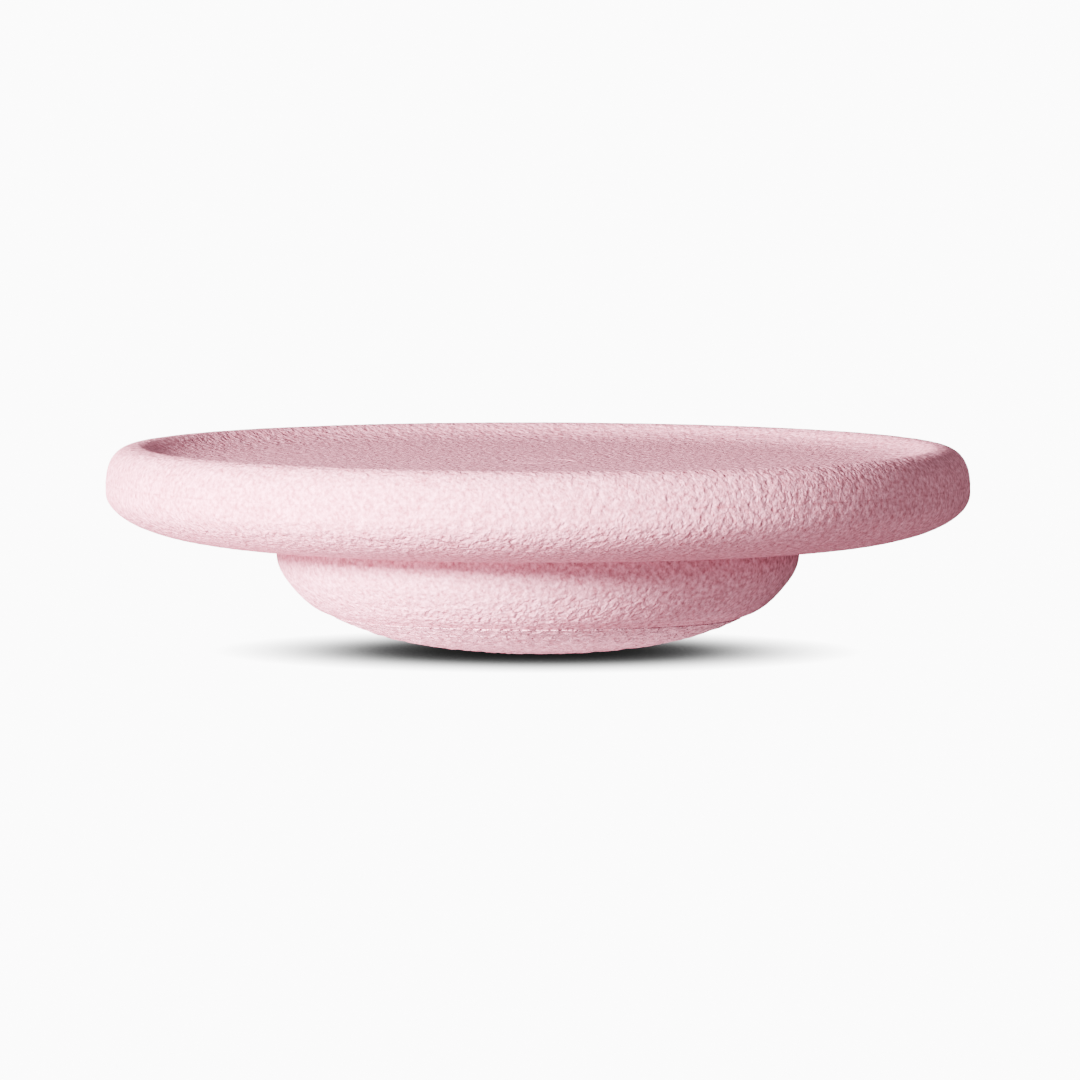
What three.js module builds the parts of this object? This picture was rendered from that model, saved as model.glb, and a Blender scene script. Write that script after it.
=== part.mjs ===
// Balance board: a dished round deck with a thick rolled rim on a shallow domed rocker base.
// Millimetres, +Z up. The origin is the centre of the flat foot, so the board stands on z = 0.
// Three solid foam pieces of revolution, from the bottom up: rocker_cap, rocker_dome and deck.
// Every outline point is [radius, height] unless its table says otherwise.
import * as THREE from "three";

// ---- overall ----
const OVERALL_RADIUS = 190;
const OVERALL_HEIGHT = 90; // foot to the crest of the rim
const BOND_GAP = 0.3; // glue line between two pieces
const TURN_STEPS = 72; // flats round every turned surface

// ---- rim of the deck ----
const CREST_RADIUS = 175.3; // circle along which the rim is highest
const BAND_TOP = OVERALL_HEIGHT - 18.5; // upright band at the rim's widest part
const BAND_BOTTOM = BAND_TOP - 1.2;
const RIM_TOP_POWER = 2.54; // superellipse power, band to crest
const RIM_TOP_STEPS = 7;
const UNDERSIDE_HEIGHT = 47.4; // flat underside of the deck
const UNDERSIDE_RADIUS = 125.2; // where the underside starts to curve up to the rim
const RIM_UNDER_POWER = 2.1; // superellipse power, underside to band
const RIM_UNDER_STEPS = 11;

// ---- dish in the deck ----
const DISH_FLOOR_HEIGHT = OVERALL_HEIGHT - 6.5; // flat standing surface
const DISH_FLOOR_RADIUS = 136;
// Wall of the dish: [distance inside the crest circle, drop below the crest]
const DISH_WALL = [
  [2.3, 0.45], [5.3, 1.65], [8.3, 2.95], [11.8, 4.0],
  [16.3, 4.98], [22.3, 5.73], [29.8, 6.23],
];

// ---- spigot on the dome, and the socket in the deck that it centres in ----
const SPIGOT_RADIUS = 70;
const SOCKET_RADIUS = SPIGOT_RADIUS + BOND_GAP;
const SOCKET_TOP = UNDERSIDE_HEIGHT + 10;

// ---- rocker dome ----
// Side of the dome, from its bottom edge up
const DOME_SIDE = [
  [90.7, 15.7], [95.6, 17.9], [101.3, 21.6],
  [105.3, 25.3], [108.5, 28.9], [111.3, 32.6],
  [113.4, 36.3], [114.6, 40.0], [115.0, 43.6],
];
const DOME_BOTTOM = DOME_SIDE[0][1];
const DOME_TOP = UNDERSIDE_HEIGHT - BOND_GAP;
const DOME_TOP_RADIUS = 115;
const SEAT_RADIUS = 84; // recess under the dome that takes the cap
const SEAT_TOP = DOME_BOTTOM + 5;

// ---- rocker cap ----
const FOOT_RADIUS = 20; // flat foot the board stands still on
const CAP_PLUG_RADIUS = SEAT_RADIUS - BOND_GAP;
// Underside of the cap, from the foot out
const CAP_FACE = [
  [32.7, 1.0], [43.5, 2.2], [54.4, 3.9],
  [65.3, 6.2], [76.2, 9.6], [85.5, 13.35],
];
// Narrow lip round the cap, just below the bottom edge of the dome
const LIP_TOP = DOME_BOTTOM - BOND_GAP;
const CAP_LIP = [[88.9, 14.35], [89.5, 14.85], [89.3, LIP_TOP]];

// ---- foam ----
const FOAM_ROUGHNESS = 0.88;
const FOAM_COLORS = { cap: 0xe2bfc7, dome: 0xe5c2ca, deck: 0xe8c6cd };

function foam(color) {
  return new THREE.MeshStandardMaterial({ color, roughness: FOAM_ROUGHNESS, metalness: 0 });
}

// Quarter superellipse from [outerRadius, startHeight] in to [innerRadius, endHeight],
// with both end points left out.
function quarterCurve({ innerRadius, outerRadius, startHeight, endHeight, power, steps }) {
  const points = [];
  for (let i = 1; i < steps; i++) {
    const angle = (i / steps) * (Math.PI / 2);
    const across = Math.pow(Math.cos(angle), 2 / power);
    const along = Math.pow(Math.sin(angle), 2 / power);
    points.push([
      innerRadius + (outerRadius - innerRadius) * across,
      startHeight + (endHeight - startHeight) * along,
    ]);
  }
  return points;
}

// Solid of revolution about +Z with its origin at baseHeight. The profile runs from the axis
// at the bottom, round the outside, and back to the axis at the top.
function turned({ name, profile, color, baseHeight }) {
  const points = profile.map(([radius, z]) => new THREE.Vector2(radius, z - baseHeight));
  const geometry = new THREE.LatheGeometry(points, TURN_STEPS);
  geometry.rotateX(Math.PI / 2); // the lathe turns about Y
  const mesh = new THREE.Mesh(geometry, foam(color));
  mesh.name = name;
  mesh.position.z = baseHeight;
  return mesh;
}

function makeCap() {
  const profile = [
    [0, 0],
    [FOOT_RADIUS, 0],
    ...CAP_FACE,
    ...CAP_LIP,
    [CAP_PLUG_RADIUS, LIP_TOP],
    [CAP_PLUG_RADIUS, SEAT_TOP - BOND_GAP],
    [0, SEAT_TOP - BOND_GAP],
  ];
  return turned({ name: "rocker_cap", profile, color: FOAM_COLORS.cap, baseHeight: 0 });
}

function makeDome() {
  const profile = [
    [0, SEAT_TOP],
    [SEAT_RADIUS, SEAT_TOP],
    [SEAT_RADIUS, DOME_BOTTOM],
    ...DOME_SIDE,
    [DOME_TOP_RADIUS, DOME_TOP],
    [SPIGOT_RADIUS, DOME_TOP],
    [SPIGOT_RADIUS, SOCKET_TOP - BOND_GAP],
    [0, SOCKET_TOP - BOND_GAP],
  ];
  return turned({
    name: "rocker_dome", profile, color: FOAM_COLORS.dome, baseHeight: DOME_BOTTOM,
  });
}

function makeDeck() {
  const rimUnder = quarterCurve({
    innerRadius: UNDERSIDE_RADIUS,
    outerRadius: OVERALL_RADIUS,
    startHeight: BAND_BOTTOM,
    endHeight: UNDERSIDE_HEIGHT,
    power: RIM_UNDER_POWER,
    steps: RIM_UNDER_STEPS,
  }).reverse(); // the profile climbs from the underside to the band
  const rimTop = quarterCurve({
    innerRadius: CREST_RADIUS,
    outerRadius: OVERALL_RADIUS,
    startHeight: BAND_TOP,
    endHeight: OVERALL_HEIGHT,
    power: RIM_TOP_POWER,
    steps: RIM_TOP_STEPS,
  });
  const profile = [
    [0, SOCKET_TOP],
    [SOCKET_RADIUS, SOCKET_TOP],
    [SOCKET_RADIUS, UNDERSIDE_HEIGHT],
    [UNDERSIDE_RADIUS, UNDERSIDE_HEIGHT],
    ...rimUnder,
    [OVERALL_RADIUS, BAND_BOTTOM],
    [OVERALL_RADIUS, BAND_TOP],
    ...rimTop,
    [CREST_RADIUS, OVERALL_HEIGHT],
    ...DISH_WALL.map(([inside, drop]) => [CREST_RADIUS - inside, OVERALL_HEIGHT - drop]),
    [DISH_FLOOR_RADIUS, DISH_FLOOR_HEIGHT],
    [0, DISH_FLOOR_HEIGHT],
  ];
  return turned({
    name: "deck", profile, color: FOAM_COLORS.deck, baseHeight: UNDERSIDE_HEIGHT,
  });
}

const base = new THREE.Group();
base.name = "rocker_base";
base.add(makeCap(), makeDome());

const board = new THREE.Group();
board.name = "balance_board";
board.add(base, makeDeck());

export default board;
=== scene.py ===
"""Round balance board of moulded bead foam, standing upright on its own axis, the z axis.

A dished deck lies on top. A rocker dome is let into its underside, and a rocker cap into the
dome; the cap's round foot touches the studio floor. The camera looks from the front, -y.
Each piece is a surface of revolution with a fine crumpled relief. Units are metres.
"""
import math

import bpy
import numpy as np
from mathutils import Euler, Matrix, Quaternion, Vector


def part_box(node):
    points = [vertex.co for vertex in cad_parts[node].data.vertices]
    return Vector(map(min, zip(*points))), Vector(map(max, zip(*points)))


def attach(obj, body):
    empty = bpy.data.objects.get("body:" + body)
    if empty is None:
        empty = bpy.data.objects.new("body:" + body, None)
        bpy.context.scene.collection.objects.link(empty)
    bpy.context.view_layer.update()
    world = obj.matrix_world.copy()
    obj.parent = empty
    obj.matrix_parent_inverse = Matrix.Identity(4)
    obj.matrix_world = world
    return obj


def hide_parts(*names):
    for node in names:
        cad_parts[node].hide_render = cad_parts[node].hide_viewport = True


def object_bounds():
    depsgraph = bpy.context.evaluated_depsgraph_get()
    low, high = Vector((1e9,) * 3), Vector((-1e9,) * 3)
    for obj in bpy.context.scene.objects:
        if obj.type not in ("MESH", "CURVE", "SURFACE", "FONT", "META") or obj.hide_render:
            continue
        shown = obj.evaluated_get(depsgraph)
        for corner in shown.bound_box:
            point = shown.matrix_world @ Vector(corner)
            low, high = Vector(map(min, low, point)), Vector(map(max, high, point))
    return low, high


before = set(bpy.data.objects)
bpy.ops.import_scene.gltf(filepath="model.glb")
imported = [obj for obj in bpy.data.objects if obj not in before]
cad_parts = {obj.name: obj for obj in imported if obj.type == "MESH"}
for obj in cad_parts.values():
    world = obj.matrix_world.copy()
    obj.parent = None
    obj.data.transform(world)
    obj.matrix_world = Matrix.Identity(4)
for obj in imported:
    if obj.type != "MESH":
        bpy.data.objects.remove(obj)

cad_lo, cad_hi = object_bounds()
MM = 0.001

# --------------------------------------------------------------------------------------
# Sizes taken from the frame's three pieces
# --------------------------------------------------------------------------------------
deck_lo, deck_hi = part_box("deck")
dome_lo, dome_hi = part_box("rocker_dome")
cap_lo, cap_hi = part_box("rocker_cap")

RIM_R = deck_hi.x
CREST_Z = deck_hi.z
UNDER_Z = deck_lo.z
DOME_R = dome_hi.x
SPIGOT_TOP_Z = dome_hi.z
SEAT_Z = dome_lo.z
CAP_R = cap_hi.x
CAP_TOP_Z = cap_hi.z
FLOOR_Z = cap_lo.z

CLEARANCE = 0.3 * MM  # round the dome's spigot and round the cap's plug

# Mesh steps
STEP = 0.9 * MM
HIDDEN_STEP = 6.0 * MM  # faces inside the joints
GLUE_STEP = 4.0 * MM  # deck's underside where it meets the dome
LEVEL_TOLERANCE = 1e-5

# Both the relief and the materials turn their noise, so that no flat face lies along its lattice
NOISE_TURN = (0.62, 0.47, 1.13)


# --------------------------------------------------------------------------------------
# Seeded gradient noise on arrays of points
# --------------------------------------------------------------------------------------
def sphere_directions(count):
    """Unit vectors spread evenly over a sphere along a golden-angle spiral."""
    angle = np.arange(count) * 2.399963229728653
    z = 1 - 2 * (np.arange(count) + 0.5) / count
    radius = np.sqrt(1 - z**2)
    return np.stack([radius * np.cos(angle), radius * np.sin(angle), z], 1)


GRADIENTS = sphere_directions(64)
TURN_MATRIX = np.array(Euler(NOISE_TURN).to_matrix())


def hash_cells(cells, seed):
    x, y, z = cells.astype(np.uint32).T
    value = (
        x * np.uint32(0x8DA6B343)
        ^ y * np.uint32(0xD8163841)
        ^ z * np.uint32(0xCB1AB31F)
        ^ np.uint32((seed * 0x9E3779B1) & 0xFFFFFFFF)
    )
    value ^= value >> np.uint32(15)
    value *= np.uint32(0x2C1B3C6D)
    value ^= value >> np.uint32(12)
    value *= np.uint32(0x297A2D39)
    value ^= value >> np.uint32(15)
    return value


def noise3(points, wavelength, seed):
    """Gradient noise, about -1 to 1, whose features are about one wavelength apart."""
    scaled = points @ TURN_MATRIX.T / wavelength
    cell = np.floor(scaled)
    within = scaled - cell
    cell = cell.astype(np.int64) + 100000  # keeps the hashed numbers positive
    fade = within * within * within * (within * (within * 6 - 15) + 10)
    total = np.zeros(len(points))
    for corner in np.ndindex(2, 2, 2):
        weight = np.prod(np.where(corner, fade, 1 - fade), axis=1)
        gradient = GRADIENTS[hash_cells(cell + corner, seed) & np.uint32(63)]
        total += weight * np.sum(gradient * (within - corner), axis=1)
    return total * 1.6


def relief(points, seed, grain=1.0, size=1.0):
    """Height of the foam's skin: crumpled grain on faint swells."""
    swell = 0.045 * MM * noise3(points, 13 * MM, seed + 1)
    lumps = noise3(points, 2.9 * MM * size, seed + 2)
    folds = np.abs(noise3(points, 5.0 * MM * size, seed + 3)) - 0.25
    return swell + grain * MM * (0.075 * lumps - 0.035 * folds)


def smoothstep(start, end, x):
    """0 at start, 1 at end; start may be the larger."""
    t = np.clip((x - start) / (end - start), 0, 1)
    return t * t * (3 - 2 * t)


# --------------------------------------------------------------------------------------
# Profiles: runs of (radius, height) points, with a crisp corner between one run and the next
# --------------------------------------------------------------------------------------
def offsets(radius, height, table):
    """Points from a table of (radius, height) offsets in millimetres."""
    return [(radius + dr * MM, height + dz * MM) for dr, dz in table]


def path_length(points):
    """Distance along the polyline at each of its points."""
    return np.r_[0, np.cumsum(np.hypot(*np.diff(points, axis=0).T))]


def outward(points):
    """Unit normals of a profile that runs anticlockwise in (radius, height)."""
    tangent = np.gradient(points, axis=0)
    normal = np.stack([tangent[:, 1], -tangent[:, 0]], 1)
    return normal / np.maximum(np.linalg.norm(normal, axis=1), 1e-12)[:, None]


def superquarter(center, semi_axes, power, count, start, end):
    """Arc of a superellipse between two angles in degrees, 0 on the +r axis, 90 on +z."""
    angle = np.radians(np.linspace(start, end, count))
    return np.stack(
        [
            middle + semi * np.sign(part) * np.abs(part) ** (2 / power)
            for middle, semi, part in zip(center, semi_axes, (np.cos(angle), np.sin(angle)))
        ],
        1,
    )


def smooth_curve(points, count):
    """Cubic Hermite curve through the points, evenly sampled along the chord length."""
    p = np.asarray(points, float)
    along = path_length(p)
    chord = np.diff(along)
    slope = np.diff(p, axis=0) / chord[:, None]
    tangent = np.empty_like(p)
    tangent[1:-1] = (slope[:-1] * chord[1:, None] + slope[1:] * chord[:-1, None]) / (
        chord[:-1] + chord[1:]
    )[:, None]
    tangent[0], tangent[-1] = slope[0], slope[-1]
    x = np.linspace(0, along[-1], count)
    k = np.clip(np.searchsorted(along, x, side="right") - 1, 0, len(chord) - 1)
    t = ((x - along[k]) / chord[k])[:, None]
    length = chord[k][:, None]
    return (
        (2 * t**3 - 3 * t**2 + 1) * p[k]
        + (t**3 - 2 * t**2 + t) * length * tangent[k]
        + (-2 * t**3 + 3 * t**2) * p[k + 1]
        + (t**3 - t**2) * length * tangent[k + 1]
    )


def level_line(start, end, height, count):
    return np.stack([np.linspace(start, end, count), np.full(count, height)], 1)


def straight_runs(corners):
    return list(zip(corners, corners[1:]))


def add_ridge(points, where, height, half_width):
    """Pushes out a rounded ridge (or a groove, height < 0) at the point nearest to `where`."""
    nearest = np.argmin(np.hypot(points[:, 0] - where[0], points[:, 1] - where[1]))
    along = path_length(points)
    distance = (along - along[nearest]) / half_width
    return points + outward(points) * (height * np.exp(-(distance**2) * 2))[:, None]


def sample(points, along, at):
    return np.stack([np.interp(at, along, points[:, axis]) for axis in (0, 1)], 1)


def resample(points, spacing):
    """The polyline again, at the step that spacing(r, z) asks for."""
    p = np.asarray(points, float)
    p = p[np.r_[True, np.hypot(*np.diff(p, axis=0).T) > 1e-9]]
    along = path_length(p)
    fine = np.linspace(0, along[-1], max(3, int(along[-1] / 0.00005)))
    density = 1 / np.array([spacing(r, z) for r, z in sample(p, along, fine)])
    total = np.r_[0, np.cumsum((density[1:] + density[:-1]) / 2 * np.diff(fine))]
    count = max(1, int(round(total[-1])))
    return sample(p, along, np.interp(np.linspace(0, total[-1], count + 1), total, fine))


# --------------------------------------------------------------------------------------
# Surface of revolution with an even mesh: each ring has as many points as its girth needs
# --------------------------------------------------------------------------------------
def stitch(start_a, count_a, turn_a, start_b, count_b, turn_b):
    """Triangles between ring a and the next ring b; turns are in steps of the ring."""
    if count_a == 1 or count_b == 1:
        i = np.arange(max(count_a, count_b))
        j = (i + 1) % len(i)
        if count_a == 1:
            return np.stack([np.full(len(i), start_a), start_b + j, start_b + i], 1)
        return np.stack([start_a + i, start_a + j, np.full(len(i), start_b)], 1)
    # walk both rings at once, making a triangle each time one of them moves on
    next_a = (np.arange(1, count_a + 1) + turn_a) / count_a
    next_b = (np.arange(1, count_b + 1) + turn_b) / count_b
    a_moves = np.argsort(np.r_[next_a, next_b], kind="stable") < count_a
    a = np.r_[0, np.cumsum(a_moves)[:-1]]
    b = np.r_[0, np.cumsum(~a_moves)[:-1]]
    third = np.where(a_moves, start_a + (a + 1) % count_a, start_b + (b + 1) % count_b)
    return np.stack([start_a + a % count_a, third, start_b + b % count_b], 1)


def make_object(name, points, faces):
    mesh = bpy.data.meshes.new(name)
    mesh.vertices.add(len(points))
    mesh.vertices.foreach_set("co", points.astype(np.float32).ravel())
    mesh.loops.add(len(faces) * 3)
    mesh.loops.foreach_set("vertex_index", faces.astype(np.int32).ravel())
    mesh.polygons.add(len(faces))
    mesh.polygons.foreach_set("loop_start", np.arange(0, len(faces) * 3, 3, dtype=np.int32))
    mesh.polygons.foreach_set("use_smooth", np.ones(len(faces), bool))
    mesh.update(calc_edges=True)
    mesh.validate()
    made = bpy.data.objects.new(name, mesh)
    bpy.context.scene.collection.objects.link(made)
    return made


def mark_sharp(mesh, ring_of, corner_rings):
    """Keeps the profile's corners crisp: marks the edges that lie along those rings."""
    vertices = np.empty(len(mesh.edges) * 2, np.int32)
    mesh.edges.foreach_get("vertices", vertices)
    first, second = ring_of[vertices.reshape(-1, 2)].T
    marks = (first == second) & np.isin(first, corner_rings)
    mesh.attributes.new("sharp_edge", "BOOLEAN", "EDGE").data.foreach_set("value", marks)


def revolve(name, runs, spacing, skin):
    """Turns a closed profile, which starts and ends on the axis, round the z axis.

    skin(points, radius) is how far to push the points out of the surface.
    """
    sampled = [resample(run, spacing) for run in runs]
    sampled[1:] = [run[1:] for run in sampled[1:]]
    rings = np.vstack(sampled)
    rings[rings[:, 0] < 1e-6, 0] = 0
    counts = np.array([
        1 if r == 0 else max(12, int(round(2 * math.pi * r / spacing(r, z))))
        for r, z in rings
    ])
    starts = np.r_[0, np.cumsum(counts)]
    turns = 0.5 * (np.arange(len(counts)) % 2)  # every other ring by half a step

    ring_of = np.repeat(np.arange(len(counts)), counts)
    step = np.arange(starts[-1]) - starts[ring_of]
    angle = (step + turns[ring_of]) / counts[ring_of] * 2 * math.pi
    r, z = rings[ring_of].T
    points = np.stack([r * np.cos(angle), r * np.sin(angle), z], 1)

    radius = np.hypot(points[:, 0], points[:, 1])
    out_r, out_z = outward(rings)[ring_of].T
    safe = np.maximum(radius, 1e-9)
    normal = np.stack(
        [out_r * points[:, 0] / safe, out_r * points[:, 1] / safe, out_z], 1
    )
    points = points + normal * skin(points, radius)[:, None]

    faces = np.vstack([
        stitch(starts[k], counts[k], turns[k], starts[k + 1], counts[k + 1], turns[k + 1])
        for k in range(len(counts) - 1)
    ])
    made = make_object(name, points, faces)
    run_ends = np.cumsum([len(run) for run in sampled]) - 1
    mark_sharp(made.data, ring_of, run_ends[:-1])
    return made


# --------------------------------------------------------------------------------------
# Deck
# --------------------------------------------------------------------------------------
CREST_R = RIM_R - 14.7 * MM
BAND_TOP = CREST_Z - 18.5 * MM  # upright band round the rim
BAND_BOTTOM = BAND_TOP - 1.2 * MM
COARSE_Z = BAND_BOTTOM - 16 * MM  # below this the underside's grain is coarsest
UNDER_R = RIM_R - 64.8 * MM  # flat part of the underside
DISH_R = RIM_R - 54.0 * MM
DISH_Z = CREST_Z - 6.5 * MM
SPIGOT_R = 70.0 * MM
SOCKET_R = SPIGOT_R + CLEARANCE
SOCKET_TOP = SPIGOT_TOP_Z + CLEARANCE
MARK_R = 15.0 * MM  # plain ring pressed into the middle of the deck
PARTING_Z = CREST_Z - 15.9 * MM  # the two halves of the mould met here

# (radius, height) from the crest in mm, going in and down to the dish
WALL = [
    (0, 0), (-1.1, -0.11), (-2.3, -0.45), (-5.3, -1.65), (-8.3, -2.95),
    (-11.8, -4.0), (-16.3, -4.98), (-22.3, -5.73), (-29.8, -6.23),
]


def deck_outside():
    """From the flat underside out round the rim, over the crest and in to the axis."""
    under = superquarter(
        center=(UNDER_R, BAND_BOTTOM), semi_axes=(RIM_R - UNDER_R, BAND_BOTTOM - UNDER_Z),
        power=2.1, count=600, start=-90, end=0,
    )
    top = superquarter(
        center=(CREST_R, BAND_TOP), semi_axes=(RIM_R - CREST_R, CREST_Z - BAND_TOP),
        power=2.54, count=500, start=0, end=90,
    )
    wall = smooth_curve(offsets(CREST_R, CREST_Z, WALL) + [(DISH_R, DISH_Z)], 400)
    dish = level_line(DISH_R, 0, DISH_Z, 3000)
    outside = np.vstack([under, top, wall[1:], dish[1:]])
    outside = add_ridge(
        outside, (RIM_R - 0.15 * MM, PARTING_Z), height=0.10 * MM, half_width=0.55 * MM
    )
    return add_ridge(outside, (MARK_R, DISH_Z), height=-0.42 * MM, half_width=1.2 * MM)


def deck_spacing(r, z):
    if z < UNDER_Z + LEVEL_TOLERANCE and r < DOME_R - 3 * MM:
        return GLUE_STEP
    if z < UNDER_Z + 12 * MM and r < SPIGOT_R + 2 * MM:
        return HIDDEN_STEP
    step = STEP
    if z > CREST_Z - 8 * MM and r < CREST_R - 30 * MM:
        near_mark = abs(r - MARK_R) < 3 * MM
        step = STEP * (0.7 if near_mark else 1.35)
    elif z < UNDER_Z + 3 * MM:
        step = STEP * 1.35
    if abs(z - PARTING_Z) < 1.4 * MM and r > RIM_R - 2 * MM:
        step = min(step, STEP * 0.5)
    return step


def deck_skin(points, radius):
    z = points[:, 2]
    low = smoothstep(BAND_BOTTOM, COARSE_Z, z) * smoothstep(DOME_R, DOME_R + 9 * MM, radius)
    inside = smoothstep(CREST_R - 2 * MM, CREST_R - 12 * MM, radius) * (z > BAND_TOP)
    height = relief(points, seed=100, grain=1.0 + 0.9 * low - 0.5 * inside)
    # calm on the underside where the dome is glued on
    visible = smoothstep(DOME_R - 2.0 * MM, DOME_R + 2.5 * MM, radius)
    return height * np.where(z > UNDER_Z + 20 * MM, 1.0, visible)


def build_deck():
    underside = level_line(SPIGOT_R + 1 * MM, UNDER_R, UNDER_Z, 200)
    runs = straight_runs([(0, SOCKET_TOP), (SOCKET_R, SOCKET_TOP), (SOCKET_R, UNDER_Z)])
    runs.append(np.vstack([[(SOCKET_R, UNDER_Z)], underside, deck_outside()[1:]]))
    return revolve("deck_foam", runs, deck_spacing, deck_skin)


# --------------------------------------------------------------------------------------
# Rocker dome
# --------------------------------------------------------------------------------------
SEAT_R = 84.0 * MM
SEAT_TOP = CAP_TOP_Z + CLEARANCE
DOME_TOP = UNDER_Z - 0.06 * MM

# (radius, height) in mm, going up: from the cap's radius, then from the dome's; heights from
# the seat
DOME_LIP = [
    (-1.00, -0.45), (-0.22, -0.44), (0.30, -0.24), (1.20, 0.14), (2.4, 0.66),
]
DOME_SIDE = [
    (-19.4, 2.2), (-13.7, 5.9), (-9.7, 9.6), (-6.5, 13.2), (-3.7, 16.9),
    (-1.6, 20.6), (-0.4, 24.3), (0, 27.9),
]


def dome_spacing(r, z):
    if r > CAP_R - 1 * MM and SEAT_Z - 1 * MM < z < DOME_TOP - LEVEL_TOLERANCE:
        return STEP
    return HIDDEN_STEP if r < DOME_R - 4 * MM else STEP * 1.2


def dome_skin(points, radius):
    z = points[:, 2]
    low = smoothstep(SEAT_Z + 16 * MM, SEAT_Z + 1 * MM, z)
    height = relief(points, seed=300, grain=0.9 + 2.0 * low, size=1.1)
    # calm at both joints
    below_deck = smoothstep(DOME_TOP, DOME_TOP - 1.5 * MM, z)
    beyond_cap = smoothstep(CAP_R + 0.1 * MM, CAP_R + 1.5 * MM, radius)
    return height * (below_deck * beyond_cap)


def build_dome():
    side = smooth_curve(
        offsets(CAP_R, SEAT_Z, DOME_LIP)
        + offsets(DOME_R, SEAT_Z, DOME_SIDE)
        + [(DOME_R, DOME_TOP)],
        700,
    )
    seat = [(0, SEAT_TOP), (SEAT_R, SEAT_TOP), (SEAT_R, side[0][1]), tuple(side[0])]
    spigot = [
        (DOME_R, DOME_TOP), (SPIGOT_R, DOME_TOP), (SPIGOT_R, SPIGOT_TOP_Z), (0, SPIGOT_TOP_Z),
    ]
    runs = straight_runs(seat) + [side] + straight_runs(spigot)
    return revolve("rocker_dome_foam", runs, dome_spacing, dome_skin)


# --------------------------------------------------------------------------------------
# Rocker cap
# --------------------------------------------------------------------------------------
FOOT_R = 20.0 * MM
CAP_EDGE_Z = SEAT_Z - 0.46 * MM
PLUG_R = SEAT_R - CLEARANCE

# (radius, height) in mm, going out: from the axis, then from the cap's radius; heights from
# the floor
CAP_FACE = [
    (32.7, 1.0), (43.5, 2.2), (54.4, 3.9), (65.3, 6.2), (76.2, 9.6),
]
CAP_SHOULDER = [
    (-4.0, 13.35), (-1.30, 14.40), (-0.46, 14.72), (-0.14, 14.92), (-0.02, 15.08),
]
# the same from the cap's radius and its upper edge
CAP_EDGE = [(-0.05, -0.04), (-0.24, 0)]


def cap_spacing(r, z):
    if z > CAP_EDGE_Z - 1e-6 and r < CAP_R - 1.0 * MM:
        return HIDDEN_STEP
    return STEP * 0.6 if r > CAP_R - 5 * MM else STEP


def cap_skin(points, radius):
    height = relief(points, seed=500, grain=5.6, size=1.4)
    # none in the joint, less at the edge, little on the foot
    weight = smoothstep(CAP_EDGE_Z + 0.1 * MM, CAP_EDGE_Z - 0.4 * MM, points[:, 2])
    weight = weight * (1 - 0.55 * smoothstep(CAP_R - 1.5 * MM, CAP_R - 0.3 * MM, radius))
    weight = weight * (0.15 + 0.85 * smoothstep(FOOT_R * 0.8, FOOT_R * 1.3, radius))
    foot = smoothstep(FOOT_R * 1.4, FOOT_R * 0.9, radius)
    return height * weight - foot * np.abs(height) * 0.2


def build_cap():
    face = smooth_curve(
        [(0, FLOOR_Z), (FOOT_R * 0.5, FLOOR_Z), (FOOT_R, FLOOR_Z + 0.02 * MM)]
        + offsets(0, FLOOR_Z, CAP_FACE)
        + offsets(CAP_R, FLOOR_Z, CAP_SHOULDER)
        + offsets(CAP_R, CAP_EDGE_Z, CAP_EDGE),
        900,
    )
    plug = [tuple(face[-1]), (PLUG_R, CAP_EDGE_Z), (PLUG_R, CAP_TOP_Z), (0, CAP_TOP_Z)]
    return revolve("rocker_cap_foam", [face] + straight_runs(plug), cap_spacing, cap_skin)


# --------------------------------------------------------------------------------------
# Shader graphs
# --------------------------------------------------------------------------------------
class Graph:
    """Fills the emptied node tree of a material or world."""

    def __init__(self, owner):
        owner.use_nodes = True
        self.tree = owner.node_tree
        self.tree.nodes.clear()

    def node(self, kind, inputs=None, **settings):
        """Adds a node; inputs maps a socket's name or index to a value or a socket to link."""
        made = self.tree.nodes.new("ShaderNode" + kind)
        for name, value in settings.items():
            setattr(made, name, value)
        for key, value in (inputs or {}).items():
            if isinstance(value, bpy.types.NodeSocket):
                self.tree.links.new(value, made.inputs[key])
            else:
                made.inputs[key].default_value = value
        return made

    def out(self, kind, inputs=None, **settings):
        """Adds a node and returns its first output."""
        return self.node(kind, inputs, **settings).outputs[0]

    def math(self, operation, *operands):
        return self.out("Math", dict(enumerate(operands)), operation=operation)

    def mapped(self, value, source, target, **settings):
        """Maps the range source to the range target, clamped."""
        names = ("From Min", "From Max", "To Min", "To Max")
        inputs = {"Value": value, **dict(zip(names, source + target))}
        return self.out("MapRange", inputs, **settings)

    def noise(self, vector, scale, detail, rough=0.5, distortion=0.0, output="Fac"):
        inputs = {
            "Vector": vector, "Scale": scale, "Detail": detail,
            "Roughness": rough, "Distortion": distortion,
        }
        return self.node("TexNoise", inputs).outputs[output]


# --------------------------------------------------------------------------------------
# Bead-foam materials
# --------------------------------------------------------------------------------------
CENTERED = (-0.5, 0.5)
NOISE_SPAN = (0.3, 0.7)  # where most of a noise texture's values lie


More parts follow.
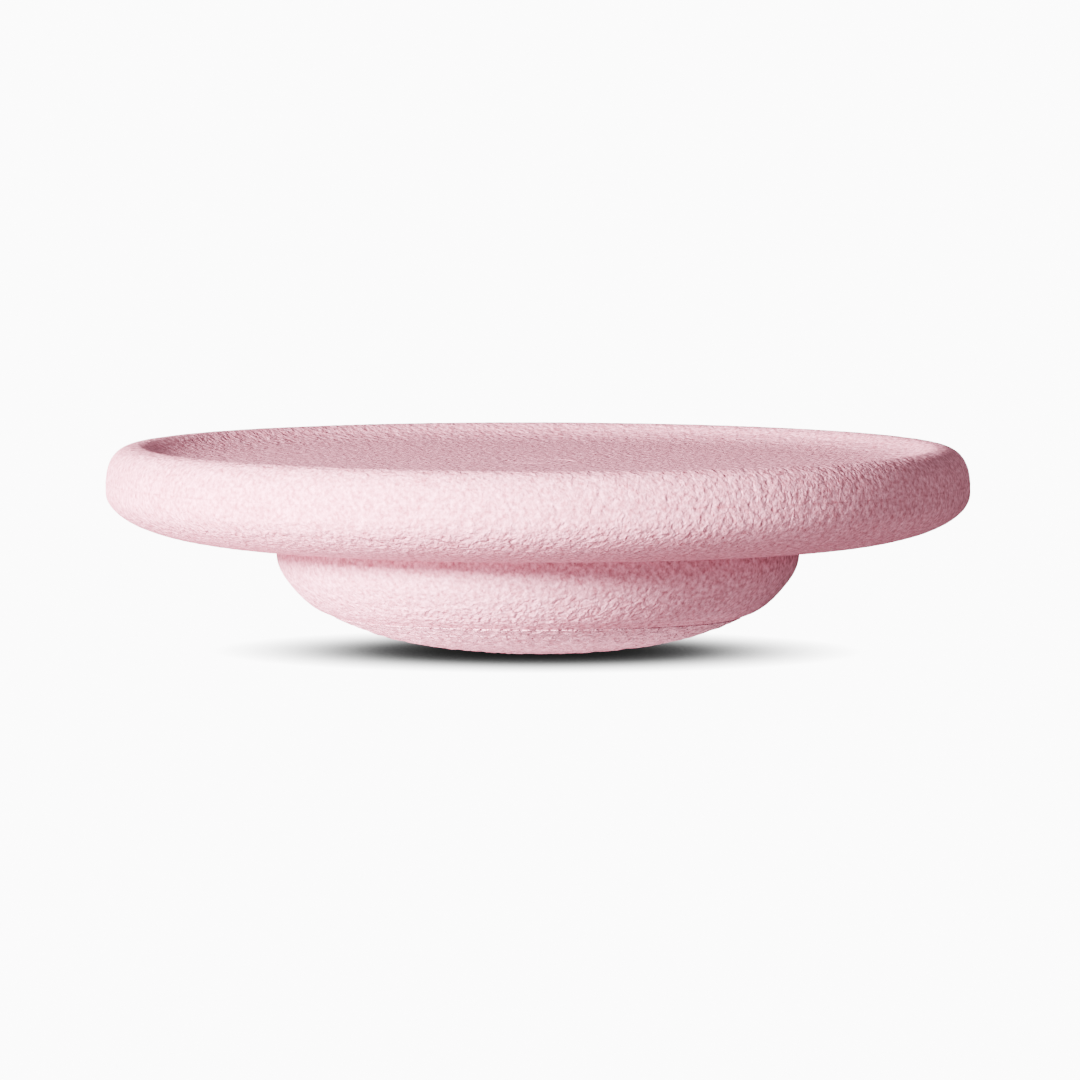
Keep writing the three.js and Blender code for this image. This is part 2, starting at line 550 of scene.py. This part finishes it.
def foam_color(graph, position, height, base, coarse, line):
    """Base colour, swung by bead-to-bead tone, a fine speckle and slow clouds."""
    warp = graph.noise(position, scale=420, detail=1.0, output="Color")
    warp = graph.out("VectorMath", {0: warp, "Scale": 0.0016}, operation="SCALE")
    warped = graph.out("VectorMath", {0: position, 1: warp}, operation="ADD")
    beads = graph.node("TexVoronoi", {"Vector": warped, "Scale": 290}).outputs["Color"]
    bead = graph.mapped(graph.out("SeparateColor", {0: beads}), (0, 1), CENTERED)
    speck = graph.noise(position, scale=520 * coarse, detail=2.0, rough=0.6)
    cloud = graph.noise(position, scale=22, detail=3.0, rough=0.55)
    tone = graph.math("MULTIPLY", bead, 0.09)
    for layer, amount in ((speck, 0.66), (cloud, 0.04)):
        layer = graph.mapped(layer, NOISE_SPAN, CENTERED)
        tone = graph.math("ADD", tone, graph.math("MULTIPLY", layer, amount))
    # painted shade on the dome just above the cap's lip; on the deck, a darker band along the
    # parting line
    if line:
        away = graph.math("ABSOLUTE", graph.math("SUBTRACT", height, line["z"]))
        darker = graph.mapped(away, (line["full"], line["gone"]), (-line["darker"], 0.0))
        tone = graph.math("ADD", tone, darker)
    # red swings less than green and blue
    tint = (base[0] * 0.7, base[1], base[2])
    swing = graph.out("VectorMath", {0: tint, "Scale": tone}, operation="SCALE")
    return graph.out("VectorMath", {0: swing, 1: base}, operation="ADD")


def grain_height(graph, position, fine, coarse, creased):
    """Crumpled leather-like grain over a fine orange peel."""
    crumple = graph.noise(position, scale=285 * coarse, detail=1.0, distortion=0.5)
    fold = graph.noise(position, scale=270 * coarse, detail=0.0, distortion=0.7)
    crease = graph.math("ABSOLUTE", graph.math("SUBTRACT", fold, 0.5))
    crease = graph.math("MINIMUM", crease, 0.075)
    height = graph.math(
        "ADD", graph.math("MULTIPLY", crumple, 0.85), graph.math("MULTIPLY", fine, 0.35)
    )
    return graph.math("ADD", height, graph.math("MULTIPLY", crease, -creased))


def deepening(graph, xyz, distance, low):
    """Bump distance that grows towards the bottom and is a little less in the deck's dish."""
    x_squared = graph.math("POWER", xyz["X"], 2.0)
    y_squared = graph.math("POWER", xyz["Y"], 2.0)
    radius = graph.math("SQRT", graph.math("ADD", x_squared, y_squared))
    dish = graph.math(
        "MULTIPLY",
        graph.mapped(radius, (CREST_R - 8 * MM, CREST_R - 1 * MM), (1.0, 0.0)),
        graph.mapped(xyz["Z"], (BAND_TOP, BAND_TOP + 2 * MM), (0.0, 0.08)),
    )
    span = (low["start"], low["end"])
    deeper = graph.mapped(xyz["Z"], span, (distance, distance * low["gain"]))
    return graph.math("MULTIPLY", deeper, graph.math("SUBTRACT", 1.0, dish))


def foam_material(name, base, seed, depth, creased, coarse=1.0, low=None, line=None):
    """depth and creased scale the grain's relief and its creases, coarse its frequency.

    low: heights where the relief starts to deepen and is deepest, and its gain there.
    line: a darker band at height z, full and gone at distances from it; on the dome it is
    painted shade.
    """
    material = bpy.data.materials.new(name)
    graph = Graph(material)
    place = graph.node("TexCoord").outputs["Object"]
    turned = graph.out(
        "VectorRotate", {"Vector": place, "Rotation": NOISE_TURN}, rotation_type="EULER_XYZ"
    )
    shift = (seed * 0.37, seed * 0.11, seed * 0.23)
    position = graph.out("VectorMath", {0: turned, 1: shift}, operation="ADD")
    xyz = graph.node("SeparateXYZ", {0: place}).outputs if low or line else {"Z": None}

    fine = graph.noise(position, scale=640, detail=1.0, distortion=0.2)
    distance = 0.0015 * depth
    bump = graph.out("Bump", {
        "Strength": 1.0,
        "Distance": deepening(graph, xyz, distance, low) if low else distance,
        "Height": grain_height(graph, position, fine, coarse, creased),
    })
    surface = graph.out("BsdfPrincipled", {
        "Base Color": foam_color(graph, position, xyz["Z"], base, coarse, line),
        "Normal": bump,
        "Roughness": graph.mapped(fine, NOISE_SPAN, (0.60, 0.82)),
        "Specular IOR Level": 0.0,
    })
    graph.node("OutputMaterial", {"Surface": surface})
    return material


deck = build_deck()
dome = build_dome()
cap = build_cap()

deck.data.materials.append(foam_material(
    "bead_foam_deck", base=(0.81, 0.378, 0.460), seed=1, depth=0.74, creased=0.6,
    low=dict(start=BAND_BOTTOM, end=COARSE_Z, gain=1.9),
    # a darker band along the mould's parting line
    line=dict(z=PARTING_Z, full=0.12 * MM, gone=0.42 * MM, darker=0.11),
))
dome.data.materials.append(foam_material(
    "bead_foam_dome", base=(0.80, 0.405, 0.488), seed=5, depth=0.66, creased=0.3,
    low=dict(start=SEAT_Z + 17 * MM, end=SEAT_Z + 1 * MM, gain=2.2),
    # painted shade: a darker band just above the cap's lip, where the lip shades the dome
    line=dict(z=SEAT_Z + 0.6 * MM, full=0.7 * MM, gone=2.0 * MM, darker=0.08),
))
# The cap's base colour is a little paler than the dome's: painted light, standing in for the
# floor's light on the cap
cap.data.materials.append(foam_material(
    "bead_foam_cap", base=(0.83, 0.44, 0.523), seed=9, depth=4.2, creased=0.0, coarse=0.9,
))
for piece, node in ((deck, "deck"), (dome, "rocker_dome"), (cap, "rocker_cap")):
    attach(piece, "root")
    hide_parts(node)

# --------------------------------------------------------------------------------------
# Studio floor and world
# --------------------------------------------------------------------------------------
WHITE = 3.44  # radiance that the view transform shows as a white background
FLOOR_RADIUS = 30
FLOOR_GAP = 0.0002  # between the cap's foot and the floor
scene = bpy.context.scene
scene.view_settings.view_transform = "AgX"
scene.view_settings.look = "AgX - High Contrast"


def towards(azimuth, elevation=0.0):
    """Unit direction; azimuth in degrees from the front, -y, towards +x."""
    a, e = math.radians(azimuth), math.radians(elevation)
    return Vector((math.sin(a) * math.cos(e), -math.cos(a) * math.cos(e), math.sin(e)))


def seen_floor(graph):
    """White to the camera, with a painted contact shadow (ambient occlusion) where the board
    stands close above.
    """
    occlusion = graph.node("AmbientOcclusion", {"Distance": 0.045}, samples=24).outputs["AO"]
    openness = graph.math("POWER", occlusion, 1.5)
    return graph.out("Emission", {"Strength": graph.mapped(openness, (0, 1), (0.03, WHITE))})


def floor_light(graph):
    """What the floor gives the board: diffuse bounce and glows of its own."""
    position = graph.node("NewGeometry").outputs["Position"]
    reach = graph.node("VectorMath", {0: position}, operation="LENGTH").outputs["Value"]

    def ramp(source, target):
        return graph.mapped(reach, source, target, interpolation_type="SMOOTHSTEP")

    def lobe(azimuth, near, far, strength):
        """Glow towards the azimuth, between two radii."""
        direction = tuple(towards(azimuth))
        dot = graph.node("VectorMath", {0: position, 1: direction}, operation="DOT_PRODUCT")
        value = graph.math("DIVIDE", dot.outputs["Value"], reach)
        value = graph.math("MAXIMUM", value, 0.0)
        value = graph.math("POWER", value, 3.0)  # how narrow the lobe is
        value = graph.math("MULTIPLY", value, ramp((near, near * 1.5 + 0.02), (0, 1)))
        value = graph.math("MULTIPLY", value, ramp((far, far * 1.5), (1, 0)))
        return graph.math("MULTIPLY", value, strength)

    glow = graph.math(
        "ADD",
        lobe(azimuth=-60, near=0.05, far=0.30, strength=0.75),
        lobe(azimuth=-20, near=0.20, far=0.80, strength=0.60),
    )
    # and a round glow under the board
    glow = graph.math("ADD", glow, ramp((0.06, 0.12), (0.80, 0)))
    bounce = graph.out("BsdfDiffuse", {"Color": (0.50, 0.49, 0.49, 1)})
    return graph.out("AddShader", {0: bounce, 1: graph.out("Emission", {"Strength": glow})})


def floor_material():
    material = bpy.data.materials.new("studio_floor")
    graph = Graph(material)
    camera_ray = graph.node("LightPath").outputs["Is Camera Ray"]
    floor = graph.out("MixShader", {0: camera_ray, 1: floor_light(graph), 2: seen_floor(graph)})
    # clear when seen from below, so that the board's underside can be looked at
    backfacing = graph.node("NewGeometry").outputs["Backfacing"]
    from_below = graph.math("MULTIPLY", backfacing, camera_ray)
    clear = graph.out("BsdfTransparent")
    surface = graph.out("MixShader", {0: from_below, 1: floor, 2: clear})
    graph.node("OutputMaterial", {"Surface": surface})
    return material


def build_floor():
    mesh = bpy.data.meshes.new("studio_floor")
    ring = [
        (FLOOR_RADIUS * math.cos(a), FLOOR_RADIUS * math.sin(a), FLOOR_Z - FLOOR_GAP)
        for a in np.linspace(0, 2 * math.pi, 96, endpoint=False)
    ]
    mesh.from_pydata(ring, [], [list(range(len(ring)))])
    floor = bpy.data.objects.new("studio_floor", mesh)
    scene.collection.objects.link(floor)
    mesh.materials.append(floor_material())


def build_world():
    """White to the camera, nearly dark as a light."""
    world = bpy.data.worlds.new("studio")
    scene.world = world
    graph = Graph(world)
    surface = graph.out("MixShader", {
        0: graph.node("LightPath").outputs["Is Camera Ray"],
        1: graph.out("Background", {"Strength": 0.02}),
        2: graph.out("Background", {"Strength": WHITE}),
    })
    graph.node("OutputWorld", {"Surface": surface})


build_floor()
build_world()

# --------------------------------------------------------------------------------------
# Lights
# --------------------------------------------------------------------------------------
LIGHT_DISTANCE = 3.0
# name, azimuth and elevation in degrees, radiance given to a white surface, width, height
LIGHTS = [
    ("key", -42, 13, 3.10, 1.1, 0.42),
    ("top", 92, 66, 0.20, 1.2, 1.2),
    ("front_fill", 38, 16, 0.12, 1.0, 1.0),
    ("left_fill", -105, 15, 0.16, 1.0, 1.0),
    ("back", 172, 8, 0.50, 1.0, 0.8),
    ("back_left", -135, 10, 0.35, 1.0, 0.8),
]
for name, azimuth, elevation, level, width, height in LIGHTS:
    light = bpy.data.lights.new(name, "AREA")
    light.shape = "RECTANGLE"
    light.size, light.size_y = width, height
    light.energy = level * math.pi * math.pi * LIGHT_DISTANCE**2
    lamp = bpy.data.objects.new(name, light)
    direction = towards(azimuth, elevation)
    lamp.location = Vector((0, 0, (cad_lo.z + cad_hi.z) / 2)) + direction * LIGHT_DISTANCE
    lamp.rotation_mode = "QUATERNION"
    lamp.rotation_quaternion = direction.to_track_quat("Z", "Y")
    lamp.visible_camera = False
    scene.collection.objects.link(lamp)

# --------------------------------------------------------------------------------------
# Camera: a long lens a little above the deck, aimed near the middle of the board's height
# --------------------------------------------------------------------------------------
CAMERA_ELEVATION = 3.67  # degrees
CAMERA_ROLL = 0.115  # degrees
CAMERA_DISTANCE = 11.4
SENSOR_WIDTH = 36
board_width = cad_hi.x - cad_lo.x
frame_width = board_width * 1.2492

camera = bpy.data.cameras.new("camera")
camera_object = bpy.data.objects.new("camera", camera)
scene.collection.objects.link(camera_object)
scene.camera = camera_object
aim = Vector((board_width * 0.00245, 0, cad_lo.z + (cad_hi.z - cad_lo.z) * 0.5415))
direction = towards(0, CAMERA_ELEVATION)
camera_object.location = aim + direction * CAMERA_DISTANCE
camera_object.rotation_mode = "QUATERNION"
roll = Quaternion((0, 0, 1), math.radians(CAMERA_ROLL))
camera_object.rotation_quaternion = direction.to_track_quat("Z", "Y") @ roll
camera.sensor_width = SENSOR_WIDTH
camera.lens = SENSOR_WIDTH * CAMERA_DISTANCE / frame_width
camera.clip_start, camera.clip_end = 0.1, 200
